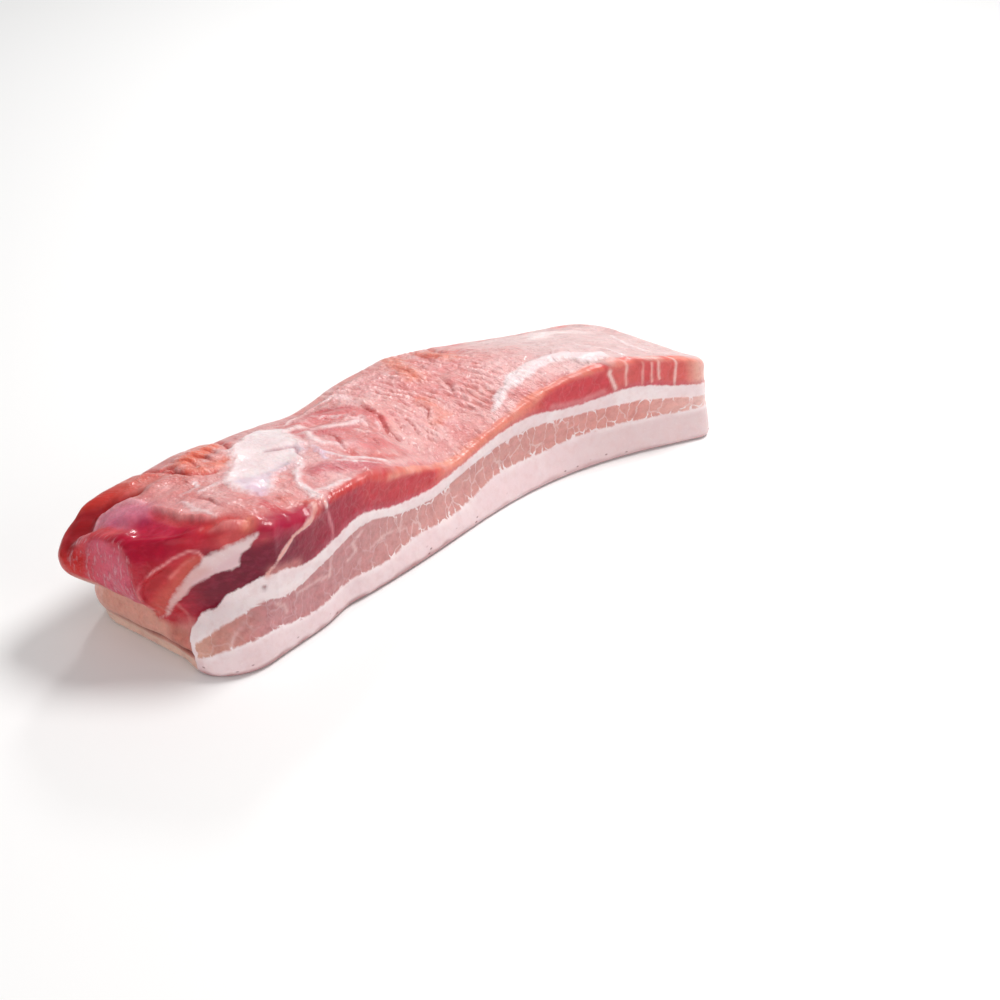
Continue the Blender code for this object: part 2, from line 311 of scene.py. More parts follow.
# (place along the front wall, height) for each border, and its share of the height at the back
FRONT_BORDERS = {
    "rind_fat": ([(-80, 6.5), (-24, 7.5), (-13, 9.2), (-2, 12), (4, 13), (13, 14.1), (24, 14.7),
                  (44, 11), (70, 12.5), (95, 11), (110, 13), (125, 11.5), (145, 12.5), (162, 16),
                  (190, 16), (215, 17.5), (245, 17), (276, 16.5)], 0.33),
    "lower_lean": ([(-80, 24), (-40, 16), (-14, 15), (-7, 17.8), (4, 20.9), (15, 24.2), (26, 27.5),
                    (36, 26), (55, 29), (80, 34), (104, 27), (122, 24), (142, 26), (165, 29.5),
                    (188, 30), (212, 28.2), (240, 27), (276, 21.5)], 0.60),
    "seam": ([(-80, 31), (-58, 30), (-36, 18.5), (-20, 17.8), (-10, 23.5), (2, 27), (5, 29.7),
              (14, 33.9), (21, 37.2), (30, 39), (46, 34.5), (62, 36.5), (78, 39.5), (95, 34),
              (122, 29.3), (142, 30.5), (167, 35), (188, 36), (202, 33.5), (222, 33.5),
              (235, 35), (262, 30), (276, 28)], 0.72)}
LOWER_LEAN_START = -16.5
# outlines on the wall: (place along the wall, height)
WEDGE = [(24, 59.5), (17, 57.4), (12, 55.4), (4, 52.6), (-1.7, 50.6), (-5, 49.4), (-7, 46.4),
         (-10, 43.7), (-13, 39.8), (-17, 34.8), (-25, 26.9), (-35.5, 19), (-32, 20.6),
         (-20, 28.2), (-12.7, 33.1), (-10.8, 36.6), (-6, 38.5), (-0.6, 41.4), (6.6, 42.4),
         (11, 44.1), (12.4, 48.6), (17.9, 52.8)]
FACET = [(-8, 51.2), (-11.3, 51.5), (-17.7, 48.9), (-25.2, 44.7), (-32.6, 39.2), (-35.5, 26.9),
         (-38.3, 19.1), (-35.8, 19.3), (-25, 26.9), (-17.3, 34.8), (-13.3, 39.8), (-10.2, 43.7),
         (-7, 45.8), (-4.9, 48.2)]
BLOCK_END = [(-71, 47.7), (-69.6, 50), (-63.8, 51.7), (-58.2, 53.3), (-45, 54.4), (-39, 50.4),
             (-36.3, 41.7), (-35.9, 36.4), (-36, 19), (-46, 24), (-57, 30), (-66, 38)]


def border_height(name):
    """Height of a border between two layers on every wall."""
    stations, back_share = FRONT_BORDERS[name]
    round_left = A - B * (1 - ease(A / 60))
    front = curve_through(stations, round_left)
    return front + (back_share * top - front) * ease(B / WIDTH) * ease(A / 60)


def line_distance(points, a, b):
    """Distance to a line through points."""
    nearest = np.full(a.shape, 1e9)
    for (a0, b0), (a1, b1) in zip(points[:-1], points[1:]):
        run, climb = a1 - a0, b1 - b0
        t = np.clip(((a - a0) * run + (b - b0) * climb) / (run * run + climb * climb), 0, 1)
        nearest = np.minimum(nearest, np.hypot(a - a0 - t * run, b - b0 - t * climb))
    return nearest


def depth_inside(outline, a, b):
    """Distance in from a closed outline; negative outside it."""
    closed = outline + outline[:1]
    crossings = np.zeros(a.shape, int)
    for (a0, b0), (a1, b1) in zip(closed[:-1], closed[1:]):
        if b0 != b1:
            crossings += ((b0 > b) != (b1 > b)) & (a < (a1 - a0) * (b - b0) / (b1 - b0) + a0)
    return np.where(crossings % 2, 1.0, -1.0) * line_distance(closed, a, b)


# how many random heights the hills draw on, and how each place picks one
HILL_HEIGHTS = 4096
HILL_SPREAD = np.array([73856093, 19349663, 83492791])


def drift(size, seed, stretch=(1, 1, 1)):
    """Smooth random hills over the slab, from -1 to 1 and about this size."""
    table = np.random.default_rng(seed).uniform(-1, 1, HILL_HEIGHTS)
    spots = places / (np.array(stretch) * size)
    cell = np.floor(spots).astype(np.int64)
    t = spots - cell
    t = t * t * (3 - 2 * t)
    total = 0.0
    for corner in range(8):
        step = np.array([corner & 1, corner >> 1 & 1, corner >> 2 & 1])
        weight = np.where(step == 1, t, 1 - t).prod(axis=1)
        spot = (cell + step) * HILL_SPREAD
        total = total + weight * table[(spot[:, 0] ^ spot[:, 1] ^ spot[:, 2]) & HILL_HEIGHTS - 1]
    return total


edge_gap = np.minimum(np.minimum(A + 0.6 * B * (A < 30), B), np.minimum(LENGTH - A, WIDTH - B))
over_edge = np.where(cell_high == CELLS_HIGH, -edge_gap, top - Z) + 1.0 * drift(7, 1)
on_top = ease(0.5 - over_edge / 4.0)
on_wall = 1 - on_top
on_end = on_wall * ease((-wall - 17) / 4) * ease((22 + 4 * drift(7, 40) - A) / 6)
on_front = on_wall * (1 - on_end)

rind_top = border_height("rind_fat")
lean_top = border_height("lower_lean")
seam_top = border_height("seam")
in_lower = np.minimum(Z - rind_top, lean_top - Z)
by_corner = (A < 50) & (B < 55)
in_lower = np.where(by_corner, np.minimum(in_lower, wall - LOWER_LEAN_START), in_lower)
in_upper = Z - seam_top
in_wedge = np.where(by_corner, depth_inside(WEDGE, wall, Z), -9.0) + 0.5 * drift(3, 2)
in_facet = np.where(by_corner, depth_inside(FACET, wall, Z), -9.0)
in_block_end = np.where(A < 30, depth_inside(BLOCK_END, wall, Z), -9.0)
wall_fat = np.maximum(-np.maximum(in_lower, in_upper), in_wedge)
wall_fat = wall_fat + (np.maximum(in_wedge, -6.0) - wall_fat) * ease((on_end - 0.3) / 0.4)

# ---- slab: strokes ---------------------------------------------------------------------------
# What lies on the slab in long soft shapes: threads of fat, muscle edges, creases and the
# stains of colour between them.  Each runs through places given along, across and up.

WHITE_PATCHES = [[(40.5, 40), (56, 54), (70, 66), (83, 75), (93, 76), (98, 66), (91, 48), (83, 36),
                  (73, 29), (66, 30), (58, 28), (49, 22), (42, 20), (39, 25), (38, 31)],
                 [(176, 9), (186, 17), (197, 19), (208, 22), (218, 22), (228, 14), (235, 8),
                  (232, 1), (222, 2), (219, 12), (211, 16), (198, 14), (187, 11)]]

# half width, lift, places
FAT_THREADS = [
    (1.5, 0.9, [(73, 29, 54), (67, 24, 55), (61, 18, 56), (59, 12, 55), (58, 5, 55), (58.5, 0, 54)]),
    (1.0, 0.4, [(61, 6, 55), (68, 3.5, 56), (75, 2, 55)]),
    (1.2, 0.8, [(85, 30, 54), (87, 25, 54), (89, 17, 53), (95, 13, 52), (104, 7, 48)]),
    (0.5, 0.3, [(128, 36, 44), (126, 31, 44)]), (1.2, 0.3, [(88, 36, 53), (86, 28, 54), (82, 22, 54)]),
    (2.2, 0.3, [(174, 7, 43), (184, 14, 44), (192, 18, 45)]),
    (4.6, 0.5, [(195, 18, 45), (208, 18, 46), (221, 16, 47), (229, 7, 48)]),
    (0.5, 0.3, [(120, 62, 44), (124, 54, 45)]), (0.6, 0.3, [(84, 16, 54), (92, 9, 53), (98, 5, 50)]),
    (0.5, 0.3, [(25, 46, 59), (29, 45, 59), (33, 46, 59), (35, 51, 58)]),
    (0.5, 0.3, [(29, 41, 60), (36, 42, 59), (44, 42, 58)]),
    (0.4, 0.2, [(21, 41, 60), (20, 33, 60), (21, 30, 61), (19, 21, 61)]),
    (0.7, 0.3, [(235, 28, 46), (240, 19, 47), (242, 6, 48)]),
    (0.7, 0.3, [(268, 56, 33), (258, 29, 41), (256, 10, 45)]),
    (0.8, 0.2, [(53, 0, 55), (49, 0, 52), (45, 0, 51), (40, 0, 50), (36, 0, 47.5), (32, 0, 45),
                (28, 1, 41), (26, 3, 37)])]

# colour, half width, share, lift, places
MEAT_STROKES = [
    # the lobe on the left, the membrane beside it and the furrow between them
    ((186, 32, 26), 9, 0.95, 0, [(0, 67, 39), (8, 77, 46), (20, 78, 50)]),
    ((214, 92, 76), 2.6, 0.5, 0.6, [(6, 77, 50), (20, 80, 49), (32, 80, 51), (36, 75, 54)]),
    ((200, 120, 142), 5.5, 0.9, 0, [(4, 70, 51), (7, 66, 53), (9, 60, 55), (11, 54, 57), (10, 48, 57)]),
    ((172, 76, 112), 4.0, 0.8, -0.3, [(2, 60, 53), (4, 54, 55), (6, 48, 57)]),
    ((140, 0, 12), 3.8, 0.97, -2.4, [(0, 70, 46), (9, 78, 50), (13, 74.5, 53), (17, 72, 55),
                                     (21, 68, 56)]),
    ((226, 168, 178), 1.2, 0.85, 1.0, [(0, 66.5, 48.5), (6, 72.5, 52), (10, 69, 54), (14, 64, 56),
                                       (15, 58, 57)]),
    # edges of the block's end
    ((196, 58, 60), 2.4, 0.85, 1.0, [(0, 64, 50), (0, 58, 53), (0, 52, 55), (0, 47, 55)]),
    ((172, 32, 50), 2.8, 0.9, 0.9, [(0, 48, 54), (1, 42, 53), (2, 39, 48), (2, 37, 40), (2, 37, 30)]),
    # the deep red hollow on the block, and the crease and lip behind it
    ((168, 34, 76), 4.0, 0.8, -0.6, [(6, 49, 57.5), (8, 44, 58)]),
    ((170, 10, 50), 5.2, 0.98, -1.6, [(2, 45, 56), (4, 38, 56), (6, 32, 55), (9, 27, 55)]),
    ((182, 26, 62), 4.4, 0.95, -0.9, [(6, 43, 58.5), (8, 36, 59), (9, 30, 59), (11, 25, 58)]),
    ((166, 6, 44), 4.8, 0.98, 0, [(1, 41, 54), (3, 36, 51), (4, 33, 53), (7, 29, 55), (9, 26, 57)]),
    ((178, 34, 58), 3.0, 0.8, -0.6, [(9, 25, 54), (12, 20, 57), (14, 17, 59)]),
    ((184, 40, 50), 1.7, 0.75, -0.9, [(12, 49, 58), (12, 40, 59), (13, 31, 60), (14, 24, 60),
                                      (15, 20, 61)]),
    ((224, 140, 136), 1.3, 0.5, 0.9, [(15, 50, 58), (15, 41, 59), (16, 32, 60), (17, 24, 61)]),
    # the tongue of lean over the wedge of fat
    ((196, 66, 60), 1.8, 0.75, -1.1, [(13, 20, 60), (19, 17, 61), (22, 12, 61), (23, 6, 61)]),
    ((180, 30, 48), 4.4, 0.95, 0.3, [(11, 22, 55), (14, 18, 56), (17, 14, 56)]),
    ((202, 78, 78), 4.0, 0.9, 0.3, [(18, 12, 55), (20, 10, 57), (24, 5, 58)]),
    ((222, 134, 130), 2.0, 0.7, 0.3, [(15, 17, 61), (18, 13, 61.5), (22, 9, 61.5)]),
    ((216, 134, 112), 2.4, 0.8, 0.3, [(23, 7, 61), (26, 4, 59), (28, 2, 57)]),
    # the facet on the corner and the tail of the wedge below it
    ((160, 10, 24), 2.6, 0.8, 0, [(4, 34, 34), (5, 31, 39), (7, 28, 44)]),
    ((226, 140, 132), 0.6, 0.7, 0.2, [(8, 27, 41), (10, 24, 46), (12, 21, 49)]),
    ((190, 84, 74), 3.0, 0.7, 0, [(12, 21, 47), (9, 26, 38), (5, 30, 31), (1, 36, 23)]),
    ((214, 152, 146), 2.4, 0.8, 0, [(3, 22, 20), (0, 25, 20)]),
    # veins on the front, most of them in the pale lean
    ((206, 130, 140), 0.7, 0.8, 0.3, [(58, 0, 54), (60.5, 0, 48), (62, 0, 42), (61.5, 0, 37)]),
    ((222, 182, 180), 0.7, 0.6, 0, [(9, 7, 12), (12, 7, 17), (17, 6, 20)]),
    ((222, 182, 180), 0.7, 0.6, 0, [(28, 0, 26), (33, 0, 22), (34, 0, 18)]),
    ((226, 190, 188), 0.7, 0.7, 0, [(40, 0, 23), (46, 0, 23.5), (52, 0, 23), (59, 0, 21), (60, 0, 29)]),
    ((226, 190, 188), 0.8, 0.7, 0, [(70, 0, 22), (75, 0, 24), (73, 0, 29), (79, 0, 31)]),
    ((226, 190, 188), 0.7, 0.7, 0, [(84, 0, 20), (90, 0, 22), (96, 0, 22), (103, 0, 19)]),
    # orange lobes behind the block, and the creases between them
    ((214, 110, 96), 9, 0.6, 0, [(30, 76, 53), (38, 66, 55), (44, 60, 56)]),
    ((226, 112, 86), 5.5, 0.9, 1.0, [(47, 70, 54), (56, 74, 52), (66, 77, 50)]),
    ((224, 118, 94), 4.2, 0.8, 0.5, [(42, 61, 56), (48, 57, 56), (56, 57, 55)]),
    ((190, 66, 58), 1.4, 0.85, -1.3, [(38, 68, 55), (39, 58, 57), (46, 53, 57)]),
    ((186, 60, 56), 1.6, 0.8, -1.6, [(37, 80, 52), (40, 73, 54), (39, 68, 55)]),
    ((196, 76, 70), 1.6, 0.7, -1.4, [(74, 80, 47), (72, 72, 50), (68, 68, 51)]),
    # bare muscle behind the white patch, and the bands pulled over it
    ((212, 108, 110), 5.5, 0.85, 1.2, [(108, 64, 45), (117, 66, 43), (125, 60, 43), (129, 52, 44),
                                       (132, 44, 44), (132, 36, 44)]),
    ((194, 78, 84), 2.4, 0.8, 0, [(120, 72, 41), (128, 70, 41), (134, 60, 43)]),
    ((200, 92, 98), 3.2, 0.85, 0.7, [(96, 49, 50), (103, 46, 49), (109, 42, 48), (115, 41, 47)]),
    ((242, 212, 212), 1.3, 0.85, 0.5, [(104, 70, 45), (118, 77, 41), (131, 79, 40), (139, 76, 40),
                                       (140, 65, 42)]),
    ((244, 216, 216), 2.1, 0.9, 0.5, [(88, 66, 50), (95, 62, 48), (103, 61, 47), (105, 53, 48),
                                      (110, 49, 47), (116, 45, 46), (122, 44, 46)]),
    ((244, 218, 218), 1.8, 0.9, 0.5, [(99, 52, 49), (93, 41, 51), (93, 35, 52), (97, 31, 51),
                                      (98, 25, 51)]),
    ((240, 208, 208), 1.2, 0.8, 0.4, [(124, 50, 45), (127, 45, 45), (125, 39, 45)]),
    ((240, 208, 208), 1.0, 0.7, 0.4, [(117, 38, 47), (119, 32, 46)]),
    ((236, 202, 204), 3.6, 0.6, 0.3, [(88, 41, 52), (94, 34, 52), (100, 28, 51), (106, 23, 49)]),
    ((236, 198, 200), 2.6, 0.55, 0.3, [(110, 53, 47), (117, 48, 46), (124, 44, 45)]),
    ((246, 232, 230), 5.5, 0.8, 0.3, [(238, 60, 38), (250, 74, 34), (262, 66, 36)]),
    # bare muscle in front of it, down to the front edge
    ((202, 100, 104), 2.6, 0.7, 0.3, [(96, 57, 49), (101, 56, 49), (107, 53, 48)]),
    ((208, 108, 110), 4.2, 0.75, 0.6, [(101, 35, 50), (103, 27, 50), (108, 21, 48), (118, 20, 45)]),
    ((204, 92, 88), 2.6, 0.7, -0.4, [(97, 23, 52), (96, 17, 52), (105, 12, 48), (112, 9, 45)]),
    # folds in the middle and at the back
    # the pale skin on the raised edge of the main crease, lightened further as a painted highlight
    ((234, 182, 176), 1.8, 0.6, 0, [(143, 62, 42), (141, 54, 43), (137, 44, 43), (134, 34, 43),
                                    (132, 26, 42)]),
    ((222, 130, 104), 4.5, 0.65, 0.5, [(174, 78, 41), (170, 67, 42), (168, 55, 43)]),
    ((220, 124, 98), 3.6, 0.75, 0.5, [(190, 77, 40), (191, 66, 41), (191, 57, 43)]),
    ((194, 88, 72), 1.3, 0.8, -1.1, [(186, 76, 41), (187, 64, 42)]),
    ((194, 88, 72), 1.2, 0.8, -1.0, [(197, 79, 37), (194, 67, 41), (204, 70, 39)]),
    ((222, 126, 102), 3.2, 0.55, 0, [(157, 39, 42), (158, 31, 42), (157, 22, 41), (150, 21, 40)]),
    # lean between the white patch and the dark corner of the front
    ((222, 148, 146), 5.5, 0.8, 0.6, [(56, 24, 56), (60, 24, 56), (60, 18, 56)]),
    ((192, 62, 70), 3.2, 0.85, 0.8, [(38, 12, 58), (37, 5, 58), (41, 1, 56), (50, 1, 54)]),
    ((216, 118, 108), 2.8, 0.8, 1.4, [(48, 12, 56), (49, 6, 55), (54, 2, 55)]),
    ((112, 50, 78), 0.8, 0.8, -0.5, [(67, 17, 56), (66, 15, 56)]),
    ((196, 100, 108), 5.6, 0.95, 0.4, [(74, 16, 55), (83, 10, 54), (91, 5, 53)]),
    ((164, 16, 58), 4.2, 0.92, 0, [(27, 3, 58), (31, 1, 58), (38, 0, 56), (46, 0, 54)]),
    # the red front, its pale foot and its orange rim
    ((206, 136, 132), 2.4, 0.7, 0, [(28, 0, 40), (35, 0, 38), (41, 0, 36.5)]),
    ((188, 42, 54), 4.5, 0.92, 0, [(84, 0, 48), (94, 0, 45), (103, 0, 41), (114, 0, 38), (122, 0, 35)]),
    ((208, 80, 72), 1.6, 0.7, 0.2, [(62, 0, 55), (73, 0, 55), (84, 0, 54), (95, 0, 48)]),
    ((230, 154, 134), 1.4, 0.85, 0.2, [(96, 1, 48), (103, 0, 46), (110, 0, 43.5), (118, 0, 41),
                                       (129, 0, 36.5), (142, 0, 33)]),
    ((224, 138, 118), 1.8, 0.75, 0.2, [(140, 0, 33), (160, 0, 36), (171, 0, 39), (180, 0, 41),
                                       (190, 0, 44)]),
    # the red lens on the right, its rim and its foot
    ((200, 60, 70), 4.0, 0.9, 0, [(195, 0, 41), (205, 0, 42.5), (216, 0, 43), (225, 0, 40)]),
    ((228, 140, 120), 1.6, 0.75, 0.3, [(188, 0, 44), (201, 0, 47), (212, 0, 48), (223, 0, 48)]),
    ((216, 138, 140), 1.4, 0.65, 0, [(197, 0, 36.5), (204, 0, 35), (214, 0, 34.5), (224, 0, 36)]),
    ((232, 150, 134), 1.4, 0.6, 0.2, [(229, 0, 48), (242, 0, 48), (257, 0, 45), (268, 0, 42)]),
    # pale threads across the lean at the right
    ((242, 208, 202), 0.8, 0.95, 0.2, [(228, 2, 49), (226.5, 0, 44), (229.5, 0, 36)]),
    ((240, 196, 188), 0.6, 0.85, 0.1, [(235.5, 0, 49), (234.5, 0, 42), (235, 0, 37)]),
    ((236, 184, 176), 0.5, 0.8, 0.1, [(243, 0, 46), (242, 0, 35)]),
    ((236, 184, 176), 0.5, 0.8, 0.1, [(247, 0, 45), (246.5, 0, 35)]),
    ((240, 200, 192), 0.6, 0.85, 0.1, [(251, 0, 46), (250, 0, 41), (250, 0, 36)]),
    ((242, 206, 200), 0.6, 0.85, 0.1, [(259, 0, 45), (257.5, 0, 38), (257, 0, 31)])]

FAT_STROKES = [
    # painted shade in the white patch: dark lines along its creases, lilac-grey over its folds
    ((178, 124, 132), 0.9, 0.8, -1.0, [(74, 50, 53), (79, 44, 53), (83, 42, 53), (78, 34, 54),
                                       (77, 29, 54)]),
    ((212, 182, 204), 4.5, 0.8, 0, [(87, 37, 53), (82, 27, 54), (81, 21, 54), (75, 19, 55)]),
    ((214, 178, 200), 3.5, 0.8, 0, [(44, 27, 58), (45, 23, 57), (38, 18, 59)]),
    ((216, 192, 208), 3.5, 0.7, 0, [(46, 34, 58), (50, 30, 57), (58, 28, 56), (67, 30, 55)]),
    # the strand across the front, the wedge, and a clot in the seam
    ((226, 156, 144), 1.3, 0.9, 0, [(58, 0, 55), (53, 0, 54), (49, 0, 52), (40, 0, 50), (32, 0, 45),
                                    (27, 2, 39)]),
    ((214, 160, 156), 3.2, 0.8, 0, [(1, 35, 20), (6, 30, 28), (10, 24, 36), (13, 19, 42)]),
    ((218, 178, 184), 2.6, 0.7, 0, [(12, 20, 38), (16, 14, 43), (20, 9, 48)]),
    ((118, 0, 12), 0.75, 1.0, -0.3, [(25.4, 3, 33.2), (26.2, 3, 33)])]


def from_line(points):
    """Distance of the skin, in the slab's own measures, from a line through places."""
    nearest = np.full(len(A), 1e9)
    for first, last in zip(np.array(points[:-1], float), np.array(points[1:], float)):
        run = last - first
        t = np.clip((strayed - first) @ run / (run @ run), 0, 1)
        nearest = np.minimum(nearest, np.linalg.norm(strayed - first - t[:, None] * run, axis=1))
    return nearest


straying = np.stack([drift(5, 5), 0.9 * drift(5, 6), 0.5 * drift(5, 7)], axis=-1)
straying += 0.5 * np.stack([drift(2, 8), drift(2, 9), 0.6 * drift(2, 10)], axis=-1)
strayed = places + straying * (0.4 + 0.6 * on_top)[:, None]

patch_depth = np.full(A.shape, -20.0)
for outline in WHITE_PATCHES:
    patch_depth = np.maximum(patch_depth, depth_inside(outline, strayed[:, 0], strayed[:, 1]))
patch_depth += 1.4 * drift(6, 3) + 0.8 * drift(2.5, 4)
fat_depth = on_top * patch_depth + on_wall * wall_fat
lift = on_top * 0.9 * ease((patch_depth + 1) / 3)
for half_width, raise_by, points in FAT_THREADS:
    gap = from_line(points)
    fat_depth = np.maximum(fat_depth, half_width * (1 + 0.5 * drift(6, 11)) - gap)
    lift += raise_by * np.exp(-(gap / (half_width + 0.5)) ** 2)

# ---- slab: colours ---------------------------------------------------------------------------
# Raw lean goes from pale salmon on the trimmed top to wine red on the cut front.  The fat is
# nearly white, and pinker towards the rind.  Each colour is laid over the ones before it.


def screen(red, green, blue):
    """A colour as a screen gives it, from 0 to 255, in the shader's own linear values."""
    share = np.array([red, green, blue]) / 255
    return np.where(share <= 0.04045, share / 12.92, ((share + 0.055) / 1.055) ** 2.4)


def along_wall(stations):
    """A colour that changes along the wall."""
    at = [station[0] for station in stations]
    shades = np.array([screen(*station[1]) for station in stations])
    return np.stack([np.interp(shade_place, at, shades[:, band]) for band in range(3)], axis=-1)


def lay(base, colour, amount):
    """Lay a colour over a base by an amount from 0 to 1."""
    return base + (colour - base) * np.clip(amount, 0, 1)[:, None]


# place along the wall, colour
LOWER_LEAN_SHADES = [(-16, (206, 158, 142)), (4, (200, 142, 134)), (24, (190, 134, 136)),
                     (60, (186, 130, 132)), (110, (200, 146, 142)), (170, (206, 150, 144)),
                     (240, (214, 150, 142)), (262, (222, 172, 164)), (276, (230, 200, 195))]
UPPER_LEAN_SHADES = [(-38, (192, 60, 64)), (-27, (184, 34, 48)), (-14, (152, 22, 46)),
                     (-4, (110, 4, 36)), (20, (108, 2, 38)), (40, (122, 4, 42)),
                     (50, (136, 8, 44)), (60, (150, 14, 48)), (72, (164, 22, 50)),
                     (92, (178, 30, 48)), (112, (192, 48, 56)), (124, (214, 90, 80)),
                     (136, (224, 132, 116)), (180, (222, 124, 110)), (190, (208, 84, 78)),
                     (198, (198, 62, 70)), (220, (200, 62, 70)), (230, (210, 98, 92)),
                     (245, (206, 80, 82)), (262, (212, 96, 90)), (268, (228, 165, 150)),
                     (276, (232, 196, 190))]
SALMON, PALE_SKIN, DEEP_SALMON = screen(214, 152, 149), screen(230, 186, 186), screen(200, 108, 108)
RIGHT_PALE, BLOCK_ROSE, LOBE_RED = screen(213, 185, 184), screen(204, 112, 108), screen(196, 48, 46)
# painted shade and painted highlight for the troughs and crests of the wrinkles, and a mauve for the
# foot of the dark lean
TROUGH_SHADE, CREST_HIGHLIGHT, FOOT_MAUVE = screen(196, 104, 98), screen(244, 204, 202), screen(182, 96, 112)
# the tan and red-brown under the block, painted shade for the crevice below it, and its pale lip
TAN_END, TAN_RED, CREVICE_SHADE, LIP = (screen(208, 150, 134), screen(176, 96, 84), screen(96, 40, 36),
                                  screen(224, 188, 170))
END_MUSCLE, END_EDGE, RIDGE_PINK = screen(200, 84, 106), screen(176, 40, 52), screen(228, 150, 152)
FACET_RED, FACET_ORANGE = screen(194, 34, 46), screen(206, 92, 74)
WHITE_FAT, RIND_EDGE, PINK_FAT = screen(240, 224, 225), screen(176, 124, 126), screen(230, 202, 205)
RIGHT_FAT, WEDGE_FAT = screen(214, 188, 188), screen(222, 188, 188)

meat = np.tile(SALMON, (len(A), 1))
meat = lay(meat, PALE_SKIN, 0.55 * ease(0.4 + 1.4 * drift(16, 12)))
meat = lay(meat, DEEP_SALMON, 0.45 * ease(0.4 + 1.4 * drift(11, 13)))
meat = lay(meat, RIGHT_PALE, 0.85 * ease((A - 196) / 30))
meat = lay(meat, BLOCK_ROSE, 0.6 * ease((46 - A) / 12) * ease(0.6 + drift(9, 14)))
meat = lay(meat, DEEP_SALMON, 0.55 * ease((130 - A) / 12) * ease((A - 88) / 8) * ease((B - 14) / 10))

wrinkles = (np.sin(2 * math.pi * (A + 0.22 * B + 2.2 * drift(9, 21)) / 3.8)
            * ease(0.55 + 1.4 * drift(9, 22)))
wrinkles += (0.6 * np.sin(2 * math.pi * (A + 0.1 * B + 2.0 * drift(7, 30)) / 2.9)
             * ease(0.45 + 1.4 * drift(7, 31)))
wrinkles = wrinkles * ease((A - 130) / 10) * ease((215 - A) / 30) * ease((B - 6) / 8)
# painted shade in the troughs of the wrinkles and painted highlight on their crests, besides the real
# wrinkles raised in the relief
meat = lay(meat, TROUGH_SHADE, 0.6 * ease(-0.2 - wrinkles))
meat = lay(meat, CREST_HIGHLIGHT, 0.6 * ease(wrinkles - 0.2))

wall_meat = along_wall(UPPER_LEAN_SHADES)
pale_foot = ease((3.5 - (Z - seam_top)) / 3.5) * ease((shade_place - 40) / 20)
wall_meat = lay(wall_meat, FOOT_MAUVE, 0.5 * pale_foot)
wall_meat = lay(wall_meat, SALMON, 0.8 * ease((9 - (top - Z)) / 8) * ease((B - 30) / 30))
wall_meat = lay(wall_meat, along_wall(LOWER_LEAN_SHADES), ease((lean_top + seam_top) / 2 - Z + 0.5))
scalloped = ease(0.5 + (over_edge - 0.3 + 1.3 * drift(4, 34)) / 2.2)
meat = lay(meat, wall_meat, scalloped * (1 - on_end))

end_meat = lay(np.tile(END_MUSCLE, (len(A), 1)), LOBE_RED, 0.85 * ease((-wall - 60) / 5) * (Z > 30))
end_meat = lay(end_meat, END_EDGE, ease((2.5 - in_block_end) / 2.5) * (wall > -60))
below_block = ease((19 + np.clip(-wall - 36, 0, 40) * 0.55 - Z) / 1.5)
end_meat = lay(end_meat, TAN_END, below_block)
end_meat = lay(end_meat, TAN_RED, 0.7 * below_block * ease((wall + 34) / 8))
end_meat = lay(end_meat, LIP, below_block * ease((7.5 - Z) / 2))
# painted shade: dark in the crevice under the block, which the relief also sinks
shaded_crevice = (below_block * np.exp(-((Z - 8.5 - 0.8 * drift(8, 15)) / 1.4) ** 2)
           * ease((wall + 66) / 40 + 0.35))
end_meat = lay(end_meat, CREVICE_SHADE, shaded_crevice)
meat = lay(meat, end_meat, on_end)
meat = lay(meat, FACET_RED, 0.95 * ease((in_facet + 1.0) / 2.0) * on_wall)
meat = lay(meat, FACET_ORANGE, 0.6 * ease((in_facet + 1.0) / 2.0) * on_wall
           * np.exp(-((in_wedge + 1.5) / 2.2) ** 2))
uneven = np.clip(0.9 + 0.35 * drift(4, 19), 0, 1)
for colour, half_width, share, raise_by, points in MEAT_STROKES:
    cover = np.exp(-(from_line(points) / half_width) ** 2)
    broken = uneven if share < 0.9 else 1.0
    meat = lay(meat, screen(*colour), share * np.clip(1.25 * cover, 0, 1) * broken)
    lift += raise_by * cover
# the raised edge round the facet: (place along the wall, height)
FACET_RIDGE = [(-36, 19), (-35.5, 27), (-34.5, 36), (-32, 40), (-25, 45.5), (-17.7, 49.3), (-11, 52),
               (-7, 51.5), (-5, 48.6)]
ridge = np.where(by_corner, line_distance(FACET_RIDGE, wall + 0.5 * drift(4, 16), Z), 9.0)
ridge_shown = ease(0.7 + 0.9 * drift(5, 33)) * on_wall
meat = lay(meat, RIDGE_PINK, 0.85 * np.exp(-(ridge / 0.55) ** 2) * ridge_shown)

fat = np.tile(WHITE_FAT, (len(A), 1))
fat = lay(fat, PINK_FAT, 0.5 * ease(0.5 + drift(9, 17)))
fat = lay(fat, PINK_FAT, 0.6 * on_wall * ease((rind_top - Z) / 3))
fat = lay(fat, RIGHT_FAT, 0.5 * on_wall * ease((A - 190) / 40) * ease((rind_top - Z) / 3))
rind_edge = on_wall * ease((3.8 + 1.2 * drift(5, 18) - Z) / 2.2)
fat = lay(fat, RIND_EDGE, (0.5 + 0.45 * ease((180 - A) / 80)) * rind_edge)
fat = lay(fat, WEDGE_FAT, 0.6 * on_wall * ease(in_wedge + 1))
for colour, half_width, share, raise_by, points in FAT_STROKES:
    cover = np.exp(-(from_line(points) / half_width) ** 2)
    fat = lay(fat, screen(*colour), share * np.clip(1.25 * cover, 0, 1))
    lift += raise_by * cover

# ---- slab: relief ----------------------------------------------------------------------------
# Hand and knife leave folds, wrinkles and low lobes on the trimmed top.  Fat stands a little
# proud of lean on the cut sides, and the end of the block sinks between its edges.

